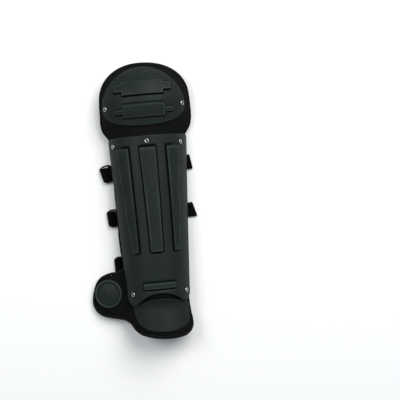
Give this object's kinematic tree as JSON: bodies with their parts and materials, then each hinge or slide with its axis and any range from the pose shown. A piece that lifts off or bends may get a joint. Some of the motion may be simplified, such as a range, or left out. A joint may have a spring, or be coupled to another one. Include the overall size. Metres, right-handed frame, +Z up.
{
  "type": "knee shin and instep guard",
  "caption": "Leg guard lying on its open back: domed knee plate, ribbed half-round shin shell, instep plate and ankle disc on a bound pad, with webbing straps through loop rings.",
  "frame": {"origin": "centre of the bounding box on the floor that the guard lies on", "axes": "+Z up out of the outer face of the shell, +Y along the shin towards the knee, +X towards the inner side of the leg; the ankle lobe is on the -X side"},
  "size_m": [0.2338, 0.5572, 0.0872],
  "materials": {
    "moulded_plastic": "fine moulded grain, dark green-grey",
    "pad_fabric": "black woven nylon over foam",
    "binding_tape": "black folded tape, sewn",
    "strap_webbing": "black ribbed webbing",
    "nickel": "nickel plated",
    "black_ring_metal": "black"
  },
  "bodies": {
    "root": {"knee_plate": "moulded_plastic", "shin_plate": "moulded_plastic", "instep_plate": "moulded_plastic", "ankle_disc": "moulded_plastic", "pad_knee": "pad_fabric", "pad_shin_upper": "pad_fabric", "pad_shin_lower": "pad_fabric", "pad_foot": "pad_fabric", "pad_lobe": "pad_fabric", "pad_binding": "binding_tape", "rivet_knee_outer": "nickel", "rivet_knee_inner": "nickel", "rivet_shin_top_outer": "nickel", "rivet_shin_top_middle": "nickel", "rivet_shin_top_inner": "nickel", "rivet_shin_bottom_outer": "nickel", "rivet_shin_bottom_inner": "nickel", "strap_upper": "strap_webbing", "strap_middle": "strap_webbing", "strap_lower": "strap_webbing", "ring_upper": "black_ring_metal", "ring_middle": "black_ring_metal", "ring_lower": "black_ring_metal", "tab_upper": "strap_webbing", "tab_middle": "strap_webbing", "tab_lower": "strap_webbing"}
  },
  "joints": []
}
